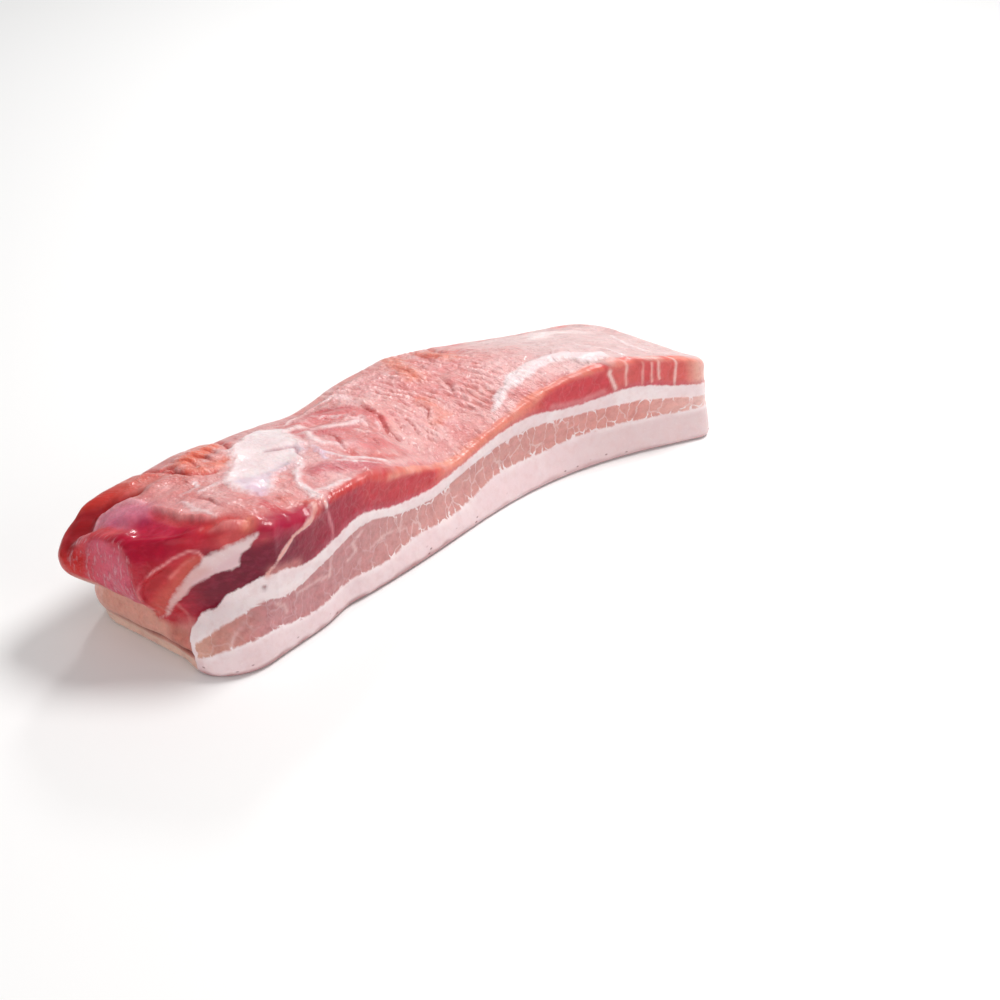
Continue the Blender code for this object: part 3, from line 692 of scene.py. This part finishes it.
# the side further along is the raised one: lift, reach, half width of the crease, places in plan
FOLDS = [(1.6, 7.0, 0.9, [(136, 8), (130, 17), (128.5, 27), (130.5, 34), (134, 44), (138, 56),
                          (141, 68)]),
         (1.3, 5.0, 0.7, [(147, 18), (150, 25), (155, 29), (154, 35), (151, 44)]),
         (1.0, 5.0, 0.6, [(142, 12), (139, 20), (141, 30), (145, 42)]),
         (0.8, 4.0, 0.4, [(135, 14), (134, 24), (137, 34), (142, 46)]),
         (1.0, 4.0, 0.5, [(166, 26), (173, 36), (176, 47)]),
         (1.0, 5.0, 0.6, [(96, 12), (97, 24), (103, 36), (104, 46)]),
         (0.9, 4.0, 0.5, [(110, 14), (116, 24), (119, 36)]),
         (0.8, 4.0, 0.4, [(122, 30), (126, 42), (130, 56)]),
         (1.2, 5.0, 0.9, [(38, 54), (38, 66), (36, 80)]),
         (1.2, 5.0, 0.8, [(52, 58), (56, 68), (54, 80)]),
         (1.0, 4.0, 0.6, [(44, 58), (47, 68), (45, 80)]),
         (1.0, 4.0, 0.6, [(59, 62), (62, 70), (61, 80)]),
         (1.0, 5.0, 0.7, [(68, 66), (71, 72), (74, 80)]),
         (0.9, 4.0, 0.6, [(184, 58), (186, 68), (186, 80)]),
         (0.9, 4.0, 0.6, [(194, 62), (198, 70), (197, 80)]),
         (0.8, 4.0, 0.4, [(158, 44), (160, 54), (158, 66)]),
         (0.8, 4.0, 0.4, [(168, 50), (170, 60), (168, 72)]),
         (0.8, 4.0, 0.5, [(24, 22), (27, 32), (26, 42)]),
         (0.7, 3.0, 0.4, [(150, 50), (152, 60), (150, 72)]),
         (0.7, 3.0, 0.4, [(176, 54), (178, 64), (177, 76)])]


def beside(points):
    """Distance past a line in plan, positive on its far side, and the share of the way along it."""
    a, b = A + 1.2 * drift(14, 32), B
    nearest, side, share = np.full(len(A), 1e9), np.zeros(len(A)), np.zeros(len(A))
    for index, ((a0, b0), (a1, b1)) in enumerate(zip(points[:-1], points[1:])):
        run, climb = a1 - a0, b1 - b0
        t = np.clip(((a - a0) * run + (b - b0) * climb) / (run * run + climb * climb), 0, 1)
        gap = np.hypot(a - a0 - t * run, b - b0 - t * climb)
        closer = gap < nearest
        nearest = np.where(closer, gap, nearest)
        side = np.where(closer, np.sign(climb * (a - a0) - run * (b - b0)), side)
        share = np.where(closer, (index + t) / (len(points) - 1), share)
    return nearest * side, np.sin(np.pi * share) ** 0.7


crease_depth = np.full(len(A), -5.0)
for height, reach, half_width, points in FOLDS:
    past, fullness = beside(points)
    raised_side = ease(past / 1.2 + 0.5) * np.exp(-np.clip(past, 0, None) / reach)
    furrow = 0.5 * np.exp(-((past + 0.6) / 0.9) ** 2)
    lift += on_top * height * fullness * (raised_side - furrow)
    crease_depth = np.maximum(crease_depth, (half_width + 0.6) * fullness - 0.6 - np.abs(past + 0.3))


def smooth_mesh(name, points):
    """A smooth mesh over the faces of the skin."""
    made = bpy.data.meshes.new(name)
    made.from_pydata((points / 1000).tolist(), [], faces)
    made.polygons.foreach_set("use_smooth", np.ones(len(faces), bool))
    return made


plain = smooth_mesh("plain", skin)
outward = np.empty(len(skin) * 3)
plain.vertex_normals.foreach_get("vector", outward)
outward = outward.reshape(-1, 3)
bpy.data.meshes.remove(plain)

lift += on_top * (0.8 * drift(21, 24) + 0.55 * drift(8, 25) + 0.2 * drift(3.2, 26, (1, 2.2, 1))
                  + 0.65 * wrinkles)
lift += on_top * (1.5 * drift(9, 27) * ease((76 - A) / 12) * ease((B - 46) / 12))
lift += on_wall * (0.25 * drift(9, 28) + 0.12 * drift(3, 29))
lift += on_front * (0.35 * ease((wall_fat + 0.6) / 1.2) + 0.7 * ease((in_wedge + 0.5) / 2))
lift += on_end * (0.7 * drift(2.2, 23, (1, 1, 3.2)) * ease(in_block_end / 2)
                  - 0.8 * ease(in_block_end / 6) - 0.9 * ease(in_facet / 4)
                  + 0.7 * np.exp(-(ridge / 1.2) ** 2) - 1.8 * shaded_crevice)
skin = skin + outward * (lift * ease(Z / 5))[:, None]

# ---- slab: mesh ------------------------------------------------------------------------------
# One closed skin over all four layers, brought inside the solids' own box.  Each of its points
# keeps how deep it lies in fat, film, fibre or a crease, and its two colours.

cad_low, cad_high = np.array(cad_box) * 1000
skin_low, skin_high = skin.min(axis=0), skin.max(axis=0)
fit = np.minimum(1.0, (cad_high - cad_low) / (skin_high - skin_low))
skin = (skin - (skin_low + skin_high) / 2) * fit + (cad_low + cad_high) / 2
slab_mesh = smooth_mesh("slab", skin)
slab = bpy.data.objects.new("slab", slab_mesh)
bpy.context.scene.collection.objects.link(slab)

lower_cells = on_front * ease((in_lower + 3) / 2) * (0.35 + 0.65 * ease((wall - 60) / 70))
upper_cells = 0.10 * on_front * ease((in_upper + 1) / 2) * ease((wall - 30) / 30)
rind_band = on_wall * ease((7 - Z) / 2)
calm = np.maximum(on_wall * ease(in_facet / 2), 0.6 * on_front)
calm = np.maximum(calm, 0.6 * on_top * ease(patch_depth / 4))
# reach and places of what lies smooth and clear of film
SMOOTH_PLACES = [(9.0, [(3, 50, 56), (2, 41, 54), (4, 33, 54), (8, 27, 56), (13, 20, 56)]),
                 (5.0, [(0, 70, 46), (9, 78, 50), (13, 74.5, 53), (17, 72, 55), (21, 68, 56)]),
                 (5.0, [(24, 4, 58), (31, 2, 58), (38, 1, 56), (46, 0, 54)])]
smooth = np.zeros(len(A))
for reach, points in SMOOTH_PLACES:
    smooth = np.maximum(smooth, np.exp(-(from_line(points) / reach) ** 2))
film = on_top * (0.12 + 0.88 * ease((A - 20) / 14)) * (1 - 0.95 * ease(1.6 * smooth))
softness = 0.58 + 0.5 * on_wall * ease((in_wedge + 2) / 2)
softness = softness + on_top * (0.8 + 1.8 * ease((patch_depth + 6) / 6) * (A < 130))
values = {"fat_depth": fat_depth, "cells": np.maximum(lower_cells, upper_cells), "film": film,
          "crease_depth": crease_depth, "calm": np.maximum(calm, smooth),
          "fibre": on_end * ease((in_block_end + 1) / 2), "rind_band": rind_band, "softness": softness}
for name, amount in values.items():
    slab_mesh.attributes.new(name, "FLOAT", "POINT").data.foreach_set("value", amount)
slab_mesh.attributes.new("place", "FLOAT_VECTOR", "POINT").data.foreach_set("vector", places.ravel())
for name, colour in {"meat": meat, "fat": fat}.items():
    painted = np.concatenate([np.clip(colour, 0, 1), np.ones((len(A), 1))], axis=1)
    slab_mesh.attributes.new(name, "FLOAT_COLOR", "POINT").data.foreach_set("color", painted.ravel())

# ---- slab: finish ----------------------------------------------------------------------------
# Raw meat and fat under a thin coat of moisture.  Fat and lean meet in a frayed border, fine
# white veins run through the pale lean, and film, strands and pores lie over them, with painted shade
# in the creases.

BLUSH, SPECK_PINK, FILM_PINK = (0.93, 0.62, 0.58, 1), (0.80, 0.50, 0.50, 1), (0.86, 0.62, 0.62, 1)
ROSE_SHADE, MAUVE_SHADE, BLOOD = (0.62, 0.30, 0.34, 1), (0.70, 0.45, 0.50, 1), (0.075, 0.014, 0.022, 1)
THREAD_PINK, STRAND_PINK, GAP_RED = (0.90, 0.74, 0.74, 1), (0.82, 0.52, 0.58, 1), (0.28, 0.03, 0.07, 1)
# painted shade for the creases, then the fat's rose and cream
CREASE_SHADE, FAT_ROSE, CREAM = (0.70, 0.34, 0.34, 1), (0.70, 0.47, 0.47, 1), (0.93, 0.86, 0.84, 1)
PORE_BROWN = (0.22, 0.05, 0.06, 1)
SINK_SHARE, SINK_REACH, SINK_DEPTH = 0.20, (1.0, 0.35, 0.25), 0.0012
SKIN_GLOSS, WET_COAT, WET_ROUGHNESS = 0.18, 0.32, 0.08
BUMP_SHARE, BUMP_DEPTH = 0.8, 0.0010

wet_meat = bpy.data.materials.new("wet_meat")
wet_meat.use_nodes = True
nodes, links = wet_meat.node_tree.nodes, wet_meat.node_tree.links


def make(kind, inputs, **settings):
    """Add a shader node, with its settings and with its inputs joined or filled."""
    made = nodes.new(kind)
    for name, value in settings.items():
        setattr(made, name, value)
    for key, value in inputs.items():
        if isinstance(value, bpy.types.NodeSocket):
            links.new(value, made.inputs[key])
        else:
            made.inputs[key].default_value = value
    return made


def kept_value(name):
    """A value or colour kept at the mesh's points."""
    return make("ShaderNodeAttribute", {}, attribute_name=name)


def calc(operation, *terms):
    """Arithmetic on up to three values of the finish."""
    return make("ShaderNodeMath", dict(enumerate(terms)), operation=operation).outputs[0]


def step(value, low, high):
    """Go smoothly from 0 at the low value to 1 at the high one."""
    return make("ShaderNodeMapRange", {"Value": value, "From Min": low, "From Max": high},
                interpolation_type="SMOOTHSTEP").outputs["Result"]


def mottle(size, detail, stretch=(1, 1, 1)):
    """Noise from 0 to 1 whose spots have a size in millimetres."""
    spots = make("ShaderNodeVectorMath", {0: place, 1: [1 / (size * s) for s in stretch]},
                 operation="MULTIPLY").outputs["Vector"]
    return make("ShaderNodeTexNoise", {"Vector": spots, "Scale": 1.0, "Detail": detail,
                                       "Roughness": 0.6}).outputs["Fac"]


def mixed(amount, first, second, way="MIX"):
    """Lay a second colour over a first."""
    return make("ShaderNodeMix", {0: amount, 6: first, 7: second}, data_type="RGBA",
                blend_type=way).outputs[2]


place = kept_value("place").outputs["Vector"]
meat_colour = kept_value("meat").outputs["Color"]
fat_colour = kept_value("fat").outputs["Color"]
fat_here = kept_value("fat_depth").outputs["Fac"]
cells_here = kept_value("cells").outputs["Fac"]
film_here = kept_value("film").outputs["Fac"]
crease_here = kept_value("crease_depth").outputs["Fac"]
fibre_here = kept_value("fibre").outputs["Fac"]
calm_here = kept_value("calm").outputs["Fac"]
rind_here = kept_value("rind_band").outputs["Fac"]

# veins between bundles of the pale lean, and the frayed border of fat and lean
wander = make("ShaderNodeTexNoise", {"Vector": place, "Scale": 0.22, "Detail": 3.0}).outputs["Color"]
wandered = make("ShaderNodeVectorMath", {0: wander, 1: (5.0, 5.0, 5.0), 2: place},
                operation="MULTIPLY_ADD").outputs["Vector"]
bundles = make("ShaderNodeVectorMath", {0: wandered, 1: (0.175, 0.10, 0.085)},
               operation="MULTIPLY").outputs["Vector"]
to_vein = make("ShaderNodeTexVoronoi", {"Vector": bundles, "Scale": 1.0},
               feature="DISTANCE_TO_EDGE").outputs["Distance"]
vein_shown = step(mottle(9, 1), 0.30, 0.52)
vein = calc("MULTIPLY", calc("SUBTRACT", 1.0, step(to_vein, 0.008, 0.060)),
            calc("MULTIPLY", cells_here, vein_shown))
soft_here = kept_value("softness").outputs["Fac"]
frayed = calc("MULTIPLY", calc("SUBTRACT", mottle(2.6, 5), 0.5),
              calc("MULTIPLY_ADD", soft_here, 2.0, 0.9))
ragged = calc("MULTIPLY_ADD", vein, 2.2, calc("ADD", frayed, fat_here))
fat_share = step(calc("DIVIDE", ragged, soft_here), -1.0, 1.0)
vein_share = calc("MULTIPLY", vein, 0.38)
fat_share = calc("MAXIMUM", fat_share, vein_share)

# lean: mottling and blood under the surface, film and threads on it, fibres cut across
meat_shade = mixed(calc("MULTIPLY", step(mottle(3.2, 3), 0.35, 0.75), 0.30), meat_colour,
                   BLUSH, "SOFT_LIGHT")
specks = calc("MULTIPLY", film_here, step(mottle(1.8, 3, (1, 1, 2.5)), 0.52, 0.78))
meat_shade = mixed(calc("MULTIPLY", specks, 0.16), meat_shade, SPECK_PINK)
meat_shade = mixed(calc("MULTIPLY", step(mottle(4.4, 3), 0.44, 0.70), 0.28), meat_shade,
                   ROSE_SHADE, "MULTIPLY")
meat_shade = mixed(calc("MULTIPLY", step(mottle(1.0, 3, (1, 1, 1.2)), 0.48, 0.74), 0.24), meat_shade,
                   MAUVE_SHADE, "MULTIPLY")
flecks = calc("MULTIPLY", step(mottle(3.2, 3, (1.5, 1.5, 1)), 0.46, 0.68), 0.6)
meat_shade = mixed(flecks, meat_shade, BLOOD, "ADD")
film = calc("MULTIPLY", film_here, step(mottle(4.5, 3, (1, 2.2, 1)), 0.46, 0.70))
meat_shade = mixed(calc("MULTIPLY", film, 0.30), meat_shade, FILM_PINK)
threads = calc("MULTIPLY", film_here, step(mottle(2.0, 3, (1, 3.0, 1)), 0.58, 0.72))
meat_shade = mixed(calc("MULTIPLY", threads, 0.28), meat_shade, THREAD_PINK)
strand = calc("MULTIPLY", fibre_here, step(mottle(1.6, 5, (1, 1, 3.0)), 0.50, 0.66))
meat_shade = mixed(calc("MULTIPLY", strand, 0.36), meat_shade, STRAND_PINK)
gap = calc("MULTIPLY", fibre_here, step(mottle(2.4, 4, (1, 1, 2.4)), 0.60, 0.74))
meat_shade = mixed(calc("MULTIPLY", gap, 0.75), meat_shade, GAP_RED)

# painted shade: the creases of the folds are darkened
crease = step(calc("MULTIPLY_ADD", mottle(1.8, 3), 0.9, crease_here), 0.20, 1.0)
meat_shade = mixed(calc("MULTIPLY", crease, 0.85), meat_shade, CREASE_SHADE, "MULTIPLY")

# fat: rosy and creamy mottling, and pores along the rind
fat_shade = mixed(calc("MULTIPLY", step(mottle(3.6, 3), 0.40, 0.75), 0.35), fat_colour,
                  FAT_ROSE)
fat_shade = mixed(calc("MULTIPLY", step(mottle(1.2, 2), 0.55, 0.80), 0.20), fat_shade, CREAM)
pore_spots = make("ShaderNodeVectorMath", {0: place, 1: (0.17, 0.17, 0.30)},
                  operation="MULTIPLY").outputs["Vector"]
to_pore = make("ShaderNodeTexVoronoi", {"Vector": pore_spots, "Scale": 1.0}).outputs["Distance"]
pore = calc("MULTIPLY", calc("SUBTRACT", 1.0, step(to_pore, 0.07, 0.18)), rind_here)
fat_shade = mixed(calc("MULTIPLY", pore, 0.7), fat_shade, PORE_BROWN)
surface_colour = mixed(fat_share, meat_shade, fat_shade)

# relief too fine for the mesh, weaker where the cut is smooth
coarse = calc("MULTIPLY", mottle(3.4, 2.5), calc("MULTIPLY_ADD", fat_share, -0.5, 1.1))
ripples = calc("MULTIPLY", mottle(2.0, 2.2, (1, 2.8, 1)), calc("MULTIPLY_ADD", film_here, 1.1, 0.15))
height = calc("ADD", calc("ADD", coarse, ripples), calc("MULTIPLY", fat_share, 0.35))
height = calc("ADD", height, calc("MULTIPLY", calc("ADD", film, strand), 0.30))
height = calc("MULTIPLY", height, calc("MULTIPLY_ADD", calm_here, -0.85, 1.0))
bumps = make("ShaderNodeBump", {"Height": height, "Strength": BUMP_SHARE,
                                "Distance": BUMP_DEPTH}).outputs["Normal"]
roughness = calc("MULTIPLY_ADD", mottle(2.0, 3), 0.22, calc("MULTIPLY_ADD", fat_share, 0.08, 0.26))

shader = nodes["Principled BSDF"]
shader.subsurface_method = "RANDOM_WALK"
shader.inputs["Subsurface Weight"].default_value = SINK_SHARE
shader.inputs["Subsurface Radius"].default_value = SINK_REACH
shader.inputs["Subsurface Scale"].default_value = SINK_DEPTH
shader.inputs["Specular IOR Level"].default_value = SKIN_GLOSS
shader.inputs["Coat Weight"].default_value = WET_COAT
shader.inputs["Coat Roughness"].default_value = WET_ROUGHNESS
links.new(surface_colour, shader.inputs["Base Color"])
links.new(roughness, shader.inputs["Roughness"])
links.new(bumps, shader.inputs["Normal"])
links.new(bumps, shader.inputs["Coat Normal"])
slab_mesh.materials.append(wet_meat)

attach(slab, "root")
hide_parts("rind_fat", "lower_lean", "fat_seam", "upper_lean")
